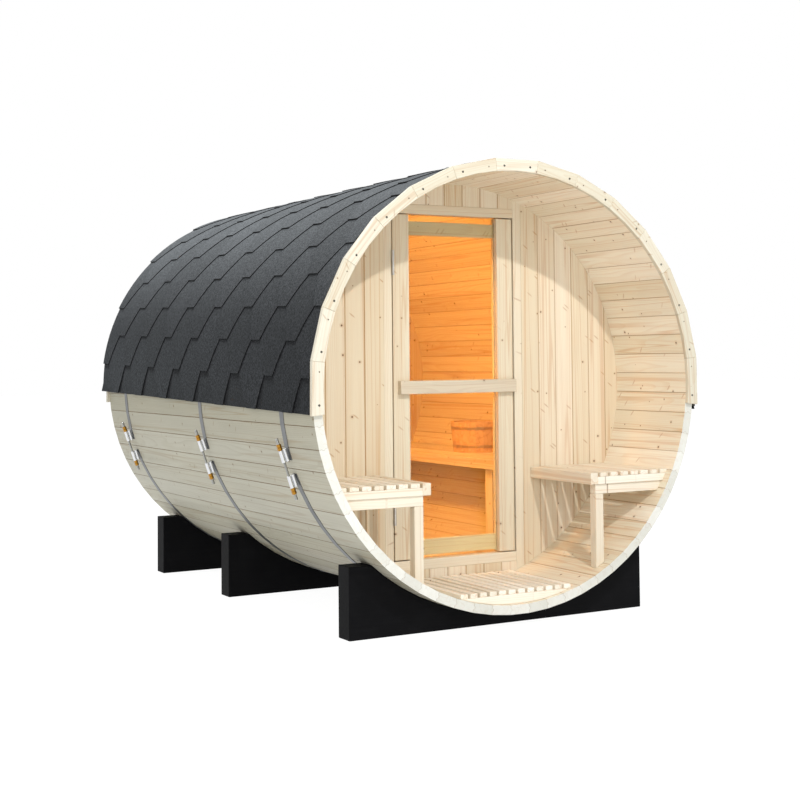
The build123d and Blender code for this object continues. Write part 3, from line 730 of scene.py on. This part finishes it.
def share_at(y):
    """0 at the front of the roof and 1 at its back."""
    return (y - ROOF_FRONT) / ROOF_LENGTH


def rise_at(degrees, y):
    """How far a course has climbed at y, in degrees. The higher ones climb more."""
    return (EAVE_RISE + RISE_GAIN * max(degrees, 0.0)) * share_at(y)


def growth_at(y):
    """How much wider the roof is at y than at its front."""
    return 1 + ROOF_GROWTH * share_at(y)


def felt(name):
    """Bitumen felt with mineral granules, painted lighter towards the top for light from above."""
    finish = Finish(name, Roughness=0.9, Specular_IOR_Level=0.12)
    finish.set("Sheen Weight", 0.10)
    finish.set("Sheen Roughness", 0.35)
    finish.set("Sheen Tint", rgb((0.86, 0.93, 0.96)))
    place = finish.place()
    tone = finish.attribute("tone", "Fac")
    grains = place.noise(820.0, 1.0, 0.6)
    coarse = place.noise(120.0, 2.0, 0.6)
    cloud = place.noise(9.0, 3.0, 0.6)
    light = (grains * 0.3 + coarse * 0.7).ramp(0.40, 0.62)
    base = light.mix(rgb((0.0026, 0.0026, 0.0032)), rgb((0.029, 0.030, 0.0335)))
    base = (cloud.ramp(0.3, 0.75) * 0.3).mix(base, rgb((0.009, 0.0094, 0.011)))
    # Painted light: the felt is painted lighter with height, standing in for light from above.
    height = place.split()[2].ramp(PAINTED_LIGHT_FROM, PAINTED_LIGHT_TO)
    base = (height * PAINTED_LIGHT_SHARE).mix(base, light.mix(rgb(PAINTED_LIGHT_DARK), rgb(PAINTED_LIGHT_PALE)))
    shade = {"Value": tone * 0.30 + 0.85, "Color": base}
    finish.set("Base Color", base.node("HueSaturation", None, shade))
    finish.bump(grains * 0.6 + coarse * 0.6, 0.0012, 0.7)
    return finish.material


def bitumen(name):
    """The cut edges of the felt, where the bitumen shows."""
    finish = Finish(name, Specular_IOR_Level=0.2)
    cloud = finish.place().noise(120.0, 2.0, 0.6)
    black, dull = rgb((0.003, 0.003, 0.0035)), rgb((0.009, 0.009, 0.010))
    finish.set("Base Color", cloud.ramp(0.3, 0.7).mix(black, dull))
    finish.set("Roughness", cloud * 0.3 + 0.5)
    return finish.material


FELT_GREY = felt("mineral_felt")
CUT_EDGE = bitumen("cut_bitumen")

# %% [markdown]
# ## Cut, bend and lay one slope
#
# A roofer cuts the tabs, lays the starter strip and nails course on course. The steps here are the same:
# draw the tabs side by side, cut the strip to the roof's length, thicken it, and wrap it on.

# %% Cut, bend and lay one slope
def tab_outline(strip, start):
    """One tab and the felt above it, as a face of eight corners in the plane."""
    half, low = TAB_PITCH / 2, TAB_FOOT / 2
    shoulder = half - low
    top = EXPOSURE * STRIP_EXPOSURES
    across = (-half, -shoulder, -low, low, shoulder, half, half, -half)
    up = (EXPOSURE, EXPOSURE, 0.0, 0.0, EXPOSURE, EXPOSURE, top, top)
    corners = [strip.verts.new((start + along, level, 0)) for along, level in zip(across, up)]
    return strip.faces.new(corners)


def cut_strip(strip, point, outward, clear):
    """Cuts the strip through a point, square to a direction, and may clear what lies beyond."""
    geometry = strip.verts[:] + strip.edges[:] + strip.faces[:]
    bmesh.ops.bisect_plane(strip, geom=geometry, dist=1e-6, plane_co=point, plane_no=outward,
                           clear_outer=clear, clear_inner=False)


def thicken(strip, thickness):
    """Gives a flat strip its thickness, upwards from where it lies."""
    base = bmesh.ops.extrude_face_region(strip, geom=strip.faces[:])
    raised = [item for item in base["geom"] if isinstance(item, bmesh.types.BMVert)]
    bmesh.ops.translate(strip, vec=(0, 0, thickness), verts=raised)


def course_strip(number, start, side):
    """Course of that number above the eave, as a flat strip. Number 0 is cut off at the eave."""
    strip = bmesh.new()
    tone = strip.faces.layers.float.new("shade")
    offset = FIRST_TAB[side] if number % 2 else FIRST_TAB[side] + TAB_PITCH / 2
    first = offset - 2 * TAB_PITCH + dice.uniform(-TAB_PLAY, TAB_PLAY)
    for step in range(int(ROOF_LENGTH / TAB_PITCH) + 4):
        face = tab_outline(strip, first + step * TAB_PITCH)
        face[tone] = dice.random()
    bmesh.ops.remove_doubles(strip, verts=strip.verts, dist=1e-5)
    cut_strip(strip, (0, 0, 0), (-1, 0, 0), True)
    cut_strip(strip, (ROOF_LENGTH, 0, 0), (1, 0, 0), True)
    cut_strip(strip, (0, (TOP_DEGREES - start) * MEASURE, 0), (0, 1, 0), True)
    if number == 0:
        cut_strip(strip, (0, (EAVE[side] - start) * MEASURE, 0), (0, -1, 0), True)
    level = BEND_DEGREES * MEASURE
    while level < EXPOSURE * STRIP_EXPOSURES:
        cut_strip(strip, (0, level, 0), (0, 1, 0), False)
        level += BEND_DEGREES * MEASURE
    return strip


def starter_strip():
    """The plain strip under the lowest course."""
    strip = bmesh.new()
    flat = bmesh.ops.create_grid(strip, x_segments=12, y_segments=4, size=0.5)
    bmesh.ops.transform(strip, verts=flat["verts"], matrix=Matrix.Translation((0.5, 0.5, 0)))
    bmesh.ops.scale(strip, verts=strip.verts, vec=(ROOF_LENGTH, EXPOSURE * STARTER_EXPOSURES, 1))
    strip.faces.layers.float.new("shade")
    return strip


def curl_at(degrees, y, side):
    """How far the lowest felt stands off: at the back on the left, and at the front on the right."""
    along = share_at(y) if side == LEFT else 1 - share_at(y)
    low = max(0.0, 1 - (degrees - EAVE[side]) / CURL_DEGREES)
    return CURL * low ** 2 * max(along, 0.0) ** 12


def wrap(strip, start_degrees, side, lift):
    """Bends a flat strip round the barrel. Lift gives the height of its underside at a level."""
    for vert in strip.verts:
        along, level, height = vert.co
        y = along + ROOF_FRONT
        front_degrees = start_degrees + level / MEASURE
        degrees = front_degrees + rise_at(front_degrees, y)
        angle = degrees if side == RIGHT else 180 - degrees
        radius = (ROOF_BASE + lift(level) + height) * growth_at(y) + curl_at(front_degrees, y, side)
        vert.co = around(radius, angle, y)


def course_lift(level):
    """The underside of a course lies on two layers at its foot and on none at its top."""
    return max(CLEAR, FELT * LAP_FOOT - level / EXPOSURE * FELT * LAP_FALL)


def starter_lift(level):
    """The starter strip lies flat."""
    return CLEAR


def paste(strip, whole, tone_of):
    """Adds a strip's faces to the whole, each with its tone, and frees the strip."""
    shade = whole.loops.layers.float["tone"]
    for face in strip.faces:
        new = whole.faces.new([whole.verts.new(vert.co) for vert in face.verts])
        new.material_index = face.material_index
        for loop in new.loops:
            loop[shade] = tone_of(face)
    strip.free()


def slope(side, name, replaced):
    """All courses of one slope, and the starter strip under the lowest."""
    whole = bmesh.new()
    whole.loops.layers.float.new("tone")
    for number in range(-1, COURSES):
        if number < 0:
            strip, start, lift = starter_strip(), EAVE[side], starter_lift
        else:
            start = EAVE[side] + FIRST_COURSE + EXPOSURE_DEGREES * (number - 1)
            strip, lift = course_strip(number, start, side), course_lift
        thicken(strip, FELT)
        bmesh.ops.recalc_face_normals(strip, faces=strip.faces)
        for face in strip.faces:
            face.material_index = 1 if abs(face.normal.z) < 0.5 else 0
        wrap(strip, start, side, lift)
        if side == LEFT:
            bmesh.ops.reverse_faces(strip, faces=strip.faces)
        source = strip.faces.layers.float["shade"]
        paste(strip, whole, lambda face: face[source])
    bmesh.ops.remove_doubles(whole, verts=whole.verts, dist=1e-6)
    piece = finished(whole, name, "cabin", [FELT_GREY, CUT_EDGE])
    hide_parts(*replaced)
    return piece


parts_of_slope = ("lower", "middle", "upper")
for side, hand in ((RIGHT, "right"), (LEFT, "left")):
    roof = slope(side, f"shingles_{hand}", [f"roof_{hand}_{part}" for part in parts_of_slope])
    print(roof.name, len(roof.data.polygons), "faces")

# %% [markdown]
# ## Ridge
#
# The ridge is closed with single pieces of the same felt, bent over it, each lapping the one behind.

# %% Ridge pieces
CAP_HALF_DEGREES = 7.0
CAP_EXPOSURE = 0.150
CAP_LENGTH = 0.240
CAP_LIFT, CAP_SLANT = 2.1, 1.2


def ridge():
    """Overlapping caps along the ridge."""
    whole = bmesh.new()
    whole.loops.layers.float.new("tone")
    total = math.floor(ROOF_LENGTH / CAP_EXPOSURE)
    for number in range(total):
        cap = bmesh.new()
        made = bmesh.ops.create_grid(cap, x_segments=8, y_segments=1, size=0.5)
        bmesh.ops.scale(cap, verts=made["verts"], vec=(2 * CAP_HALF_DEGREES, CAP_LENGTH, 1))
        start = ROOF_FRONT + number * CAP_EXPOSURE
        thicken(cap, FELT)
        bmesh.ops.recalc_face_normals(cap, faces=cap.faces)
        for vert in cap.verts:
            away = min(vert.co.y + CAP_LENGTH / 2, ROOF_BACK - start)
            slant = FELT * CAP_SLANT * away / CAP_LENGTH
            radius = (ROOF_BASE + FELT * CAP_LIFT + slant + vert.co.z) * growth_at(start + away)
            vert.co = around(radius, 90 - vert.co.x, start + away)
        tone = dice.random()
        paste(cap, whole, lambda face: tone)
    bmesh.ops.remove_doubles(whole, verts=whole.verts, dist=1e-6)
    bmesh.ops.recalc_face_normals(whole, faces=whole.faces)
    piece = finished(whole, "ridge_caps", "cabin", [FELT_GREY])
    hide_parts("roof_ridge_cap")


ridge()

# %% [markdown]
# ## Metal
#
# The bands are dull galvanised strap, the sleeves bright zinc, the rods a darker zinc and the nuts yellow
# zinc. Metal lives from its reflections, so each finish is a colour, a roughness that varies in fine
# streaks, and little else.

# %% Metal finishes
def metal(name, colour, roughness, patina=0.25, streak=(40.0, 40.0, 40.0)):
    """Plated or brushed steel."""
    finish = Finish(name, Metallic=1.0)
    place = finish.place()
    cloud = place.noise(14.0, 3.0, 0.6)
    fine = place.noise(1.0, 3.0, 0.7, streak)
    dull = [channel * 0.6 for channel in colour]
    finish.set("Base Color", (cloud.ramp(0.35, 0.7) * patina).mix(rgb(colour), rgb(dull)))
    finish.set("Roughness", fine * 0.2 + (roughness - 0.1))
    finish.bump(fine, 0.0002, 0.15)
    return finish.material


STRAP = metal("galvanised_strap", (0.24, 0.245, 0.25), 0.46, 0.5, (30.0, 400.0, 30.0))
ZINC = metal("bright_zinc", (0.82, 0.83, 0.85), 0.44, 0.1, (200.0, 60.0, 200.0))
ROD_ZINC = metal("rod_zinc", (0.50, 0.50, 0.48), 0.30, 0.2)
YELLOW_ZINC = metal("yellow_zinc", (0.52, 0.26, 0.04), 0.34, 0.4)
HINGE_STEEL = metal("hinge_steel", (0.52, 0.51, 0.49), 0.36, 0.2)
HOOP_METAL = metal("hoop_metal", (0.66, 0.50, 0.28), 0.38, 0.2)


def dress(node, material):
    """Gives a node that keeps its own mesh its finish."""
    nodes[node].data.materials.clear()
    nodes[node].data.materials.append(material)


for node, material in (("band_front", STRAP), ("band_middle", STRAP), ("band_rear", STRAP),
                       ("hinge_posts", HINGE_STEEL), ("hinge_leaves", HINGE_STEEL),
                       ("bucket_hoops", HOOP_METAL)):
    dress(node, material)

# %% [markdown]
# ## Tensioners
#
# A threaded rod draws the two ends of each band together. Its ends pass through double tubes and carry two
# nuts each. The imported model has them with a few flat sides. Here every rod is measured where it lies, and
# round tubes, the thread with its thicker ends and bevelled nuts are made and laid along it.

# %% Turned parts along each rod
TUBE_START, TUBE_LENGTH = 0.028, 0.049
TUBE_RADIUS, TUBE_HOLE, TUBE_SPACING = 0.0085, 0.0052, 0.0165
ROD_RADIUS, ROD_CORE, THREAD_PITCH = 0.005, 0.0041, 0.002
ROD_HALF = 0.1266
NUT_CORNER, NUT_LENGTH = 0.0098, 0.0125
NUT_MIDDLES = (0.08355, 0.09635)
END_START, END_LENGTH, END_TURNS = 0.1026, 0.0238, 5
END_RADIUS, END_CORE, END_CREST = 0.0064, 0.0050, 0.0012
TUBE_EASE, NUT_EASE = 0.0006, 0.0012
SPIN_STEPS = 20


def rod_frames():
    """For each rod its middle, and a matrix that lays Z along it and X away from the barrel."""
    mesh = copy_of("tensioner_rods")
    found = []
    for faces in islands(mesh):
        corners = sorted({vert for face in faces for vert in face.verts}, key=lambda vert: tuple(vert.co))
        middle, long_way, _, _ = main_axes([vert.co for vert in corners])
        outward = Vector((middle.x, 0, middle.z - AXIS)).normalized()
        sideways = long_way.cross(outward)
        axes = Matrix((outward, sideways, long_way)).transposed().to_4x4()
        found.append(Matrix.Translation(middle) @ axes)
    mesh.free()
    return found


def spun(mesh, outline, matrix, closed):
    """Spins an outline of radius and height round Z and moves the part to its place."""
    verts = [mesh.verts.new((radius, 0, height)) for radius, height in outline]
    ends = verts[1:] + verts[:1] if closed else verts[1:]
    edges = [mesh.edges.new(pair) for pair in zip(verts, ends)]
    before = set(mesh.verts)
    bmesh.ops.spin(mesh, geom=verts + edges, cent=(0, 0, 0), axis=(0, 0, 1), dvec=(0, 0, 0),
                   angle=math.tau, steps=SPIN_STEPS, use_merge=True)
    part = list((set(mesh.verts) - before) | {vert for vert in verts if vert.is_valid})
    bmesh.ops.remove_doubles(mesh, verts=part, dist=1e-6)
    part = [vert for vert in part if vert.is_valid]
    bmesh.ops.transform(mesh, verts=part, matrix=matrix)


def tube_outline(hole):
    """A short tube with eased ends."""
    half, flat = TUBE_LENGTH / 2, TUBE_RADIUS - TUBE_EASE
    return ((hole, -half), (flat, -half), (TUBE_RADIUS, TUBE_EASE - half),
            (TUBE_RADIUS, half - TUBE_EASE), (flat, half), (hole, half))


def thread_outline():
    """A rod with its thread, from end to end."""
    points = [(0.0, -ROD_HALF), (ROD_CORE, -ROD_HALF)]
    turns = int(2 * ROD_HALF / THREAD_PITCH)
    for turn in range(turns):
        level = -ROD_HALF + (turn + 0.5) * THREAD_PITCH
        points += [(ROD_RADIUS, level), (ROD_CORE, level + THREAD_PITCH / 2)]
    return points + [(ROD_CORE, ROD_HALF), (0.0, ROD_HALF)]


def end_outline():
    """The thicker threaded end that stands out of the nuts."""
    points = [(ROD_CORE, 0.0), (END_CORE, 0.0)]
    for turn in range(END_TURNS):
        level = END_LENGTH * (turn + 0.5) / END_TURNS
        points += [(END_RADIUS, level - END_CREST), (END_RADIUS, level + END_CREST),
                   (END_CORE, level + END_LENGTH / END_TURNS / 2)]
    return points + [(0.0, END_LENGTH)]


def hex_nut(mesh, matrix):
    """A bevelled nut round Z, moved to its place."""
    nut = bmesh.ops.create_cone(mesh, cap_ends=True, segments=6, radius1=NUT_CORNER,
                                radius2=NUT_CORNER, depth=NUT_LENGTH)
    rims = [edge for edge in {edge for vert in nut["verts"] for edge in vert.link_edges}
            if abs(edge.verts[0].co.z - edge.verts[1].co.z) < 1e-6]
    eased = bmesh.ops.bevel(mesh, geom=rims, offset=NUT_EASE, segments=1, profile=0.5,
                            affect="EDGES", material=-1, offset_type="OFFSET")
    verts = {vert for vert in nut["verts"] if vert.is_valid} | set(eased["verts"])
    bmesh.ops.transform(mesh, verts=list(verts), matrix=matrix)


tubes, threads, nuts, ends = bmesh.new(), bmesh.new(), bmesh.new(), bmesh.new()
for place in rod_frames():
    spun(threads, thread_outline(), place, False)
    for way in (-1, 1):
        flip = Matrix.Rotation(0.0 if way > 0 else math.pi, 4, "X")
        spun(ends, end_outline(), place @ flip @ Matrix.Translation((0, 0, END_START)), False)
        middle = way * (TUBE_START + TUBE_LENGTH / 2)
        for inward, hole in ((0.0, TUBE_HOLE), (-TUBE_SPACING, TUBE_RADIUS / 2)):
            spun(tubes, tube_outline(hole), place @ Matrix.Translation((inward, 0, middle)), True)
        for level in NUT_MIDDLES:
            hex_nut(nuts, place @ Matrix.Translation((0, 0, way * level)))
for mesh, name, material, node in ((tubes, "tensioner_tubes", ZINC, "tensioner_sleeves"),
                                   (threads, "threaded_rods", ROD_ZINC, "tensioner_rods"),
                                   (ends, "rod_ends", ROD_ZINC, "tensioner_rods"),
                                   (nuts, "hex_nuts", YELLOW_ZINC, "tensioner_nuts")):
    bmesh.ops.recalc_face_normals(mesh, faces=mesh.faces)
    piece = finished(mesh, name, "cabin", [material], smooth=35)
    if name != "rod_ends":
        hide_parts(node)
    print(name, len(piece.data.polygons), "faces")

# %% [markdown]
# ## Pane
#
# The door's pane is tinted a pale amber, which hardly shows on the rails behind it. The strong colour of
# the room comes from the warm lamp in it. Light has to pass the pane both ways, so for shadow rays it is
# simply a clear tint.

# %% Glass
GLASS_TINT = (0.92, 0.87, 0.73)


def pane_glass():
    """Tinted toughened glass."""
    finish = Finish("amber_pane", Roughness=0.0, IOR=1.25, Transmission_Weight=1.0)
    finish.set("Base Color", rgb(GLASS_TINT))
    start = finish.start()
    clear = start.node("BsdfTransparent", None, {"Color": rgb(GLASS_TINT)})
    finish.blend(start.node("LightPath", out="Is Shadow Ray"), clear)
    return finish.material


dress("door_glass", pane_glass())

# %% [markdown]
# ## Pail and ladle
#
# The pail and the ladle are oiled pine. They stand well back in the room, so they keep the edges of the
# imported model.

# %% Pail and ladle
for node in ("bucket", "ladle"):
    timber(node, [PAIL_PINE], 0)

# %% [markdown]
# ## Camera
#
# The viewing angle was worked out from the photo: the round edges of the barrel and the corners of the
# cradles fix where the camera stood. A matrix of its three directions turns it.

# %% Camera
CAMERA_PLACE = Vector((-3.1469, -6.0502, 1.0700))
YAW, PITCH, ROLL = math.radians(30.388), math.radians(2.387), math.radians(-0.587)
FOCAL_PIXELS = 1435.78
FRAME_PIXELS = 800
CENTRE_PIXELS = (446.35, 298.69)
SENSOR = 36.0

forward = Vector((math.sin(YAW) * math.cos(PITCH), math.cos(YAW) * math.cos(PITCH), math.sin(PITCH)))
level_right = forward.cross(Vector((0, 0, 1))).normalized()
level_up = level_right.cross(forward)
right = level_right * math.cos(ROLL) + level_up * math.sin(ROLL)
up = level_up * math.cos(ROLL) - level_right * math.sin(ROLL)

camera_data = bpy.data.cameras.new("camera")
camera_data.sensor_width = SENSOR
camera_data.lens = SENSOR * FOCAL_PIXELS / FRAME_PIXELS
camera_data.shift_x = 0.5 - CENTRE_PIXELS[0] / FRAME_PIXELS
camera_data.shift_y = CENTRE_PIXELS[1] / FRAME_PIXELS - 0.5
camera = added("camera", camera_data)
camera.matrix_world = Matrix((right, up, -forward)).transposed().to_4x4()
camera.location = CAMERA_PLACE
bpy.context.scene.camera = camera
print("lens", round(camera_data.lens, 2))
print("shift", round(camera_data.shift_x, 4), round(camera_data.shift_y, 4))

# %% [markdown]
# ## Light
#
# The rim's shadow on the wall of the porch says where the main lamp hung: above and a little left, about
# three and a half metres before the barrel. The soft and the fill lamp lift its shadows, and the one high
# behind the barrel lights the roof. The warm lamp stands behind the front wall, beside the door, and looks
# into the room, so that it makes the glow behind the pane and hardly any light gets out to the porch.

# %% Lamps
def lamp(name, place, target, size, power, colour):
    """A round lamp at a place, turned to a target."""
    data = bpy.data.lights.new(name, "AREA")
    data.shape = "DISK"
    data.size = size
    data.energy = power
    data.color = colour
    made = added(name, data)
    aim = (Vector(target) - Vector(place)).to_track_quat("-Z", "Y")
    made.matrix_world = Matrix.Translation(place) @ aim.to_matrix().to_4x4()


lamp("key", (-0.41, -4.83, 3.89), (0, -0.8, 0.9), 0.12, 102.0, (1.0, 0.99, 0.97))
lamp("soft", (-3.6, -5.4, 3.0), (0.4, -0.9, 0.8), 2.2, 54.0, (1.0, 0.99, 0.97))
lamp("fill", (-0.7, -5.6, 0.8), (0.2, -0.9, 1.0), 2.0, 24.0, (1.0, 0.98, 0.94))
lamp("top", (-1.9, 2.2, 5.6), (-0.4, 0.2, 1.2), 0.8, 250.0, (0.94, 0.98, 1.0))
lamp("room", (-0.5, -0.6, 1.55), (-0.3, 0.6, 0.95), 0.2, 21.0, (1.0, 0.45, 0.072))

# %% [markdown]
# ## Surround and floor
#
# The photo stands on plain white. The surround is pale where it lights the barrel and white where it is
# seen. The floor does the same, with a little of its own shading left in, so that a faint shadow stays.

# %% Surround and floor
SURROUND = (0.95, 0.975, 1.0)
SURROUND_STRENGTH = 0.66
FLOOR_HALF = 40.0
FLOOR_COLOUR = (0.82, 0.82, 0.81)
FLOOR_GLOW, GLOW_SHARE = 1.1, 0.88


def surround():
    """A pale surround that looks white where it is seen."""
    world = bpy.data.worlds.new("surround")
    bpy.context.scene.world = world
    world.use_nodes = True
    tree = world.node_tree
    tree.nodes.clear()
    start = Wire(tree)
    seen = seen_white(start)
    fill = start.node("Background", None, {"Color": rgb(SURROUND), "Strength": SURROUND_STRENGTH})
    white = start.node("Background", None, {"Color": rgb((1, 1, 1)), "Strength": 1.0})
    both = start.node("MixShader", None, {0: seen, 1: fill, 2: white})
    start.node("OutputWorld", None, {"Surface": both})


def seen_white(start):
    """1 for what the camera sees, also in a mirror or through glass, and 0 for what lights a surface."""
    outputs = ("Is Camera Ray", "Is Glossy Ray", "Is Transmission Ray", "Diffuse Depth")
    camera_ray, glossy, through, spread = (start.node("LightPath", out=name) for name in outputs)
    return camera_ray.maths("MAXIMUM", glossy).maths("MAXIMUM", through) * spread.ramp(1.0, 0.0, False)


def floor():
    """A pale floor that keeps a soft shadow."""
    mesh = bmesh.new()
    bmesh.ops.create_grid(mesh, x_segments=1, y_segments=1, size=FLOOR_HALF)
    data = bpy.data.meshes.new("floor")
    mesh.to_mesh(data)
    mesh.free()
    finish = Finish("pale_floor", Roughness=0.9, Specular_IOR_Level=0.1)
    finish.set("Base Color", rgb(FLOOR_COLOUR))
    start = finish.start()
    glow = start.node("Emission", None, {"Color": rgb((1, 1, 1)), "Strength": FLOOR_GLOW})
    finish.blend(seen_white(start) * GLOW_SHARE, glow)
    data.materials.append(finish.material)
    made = added("floor", data)


surround()
floor()
bpy.context.scene.view_settings.view_transform = "Standard"
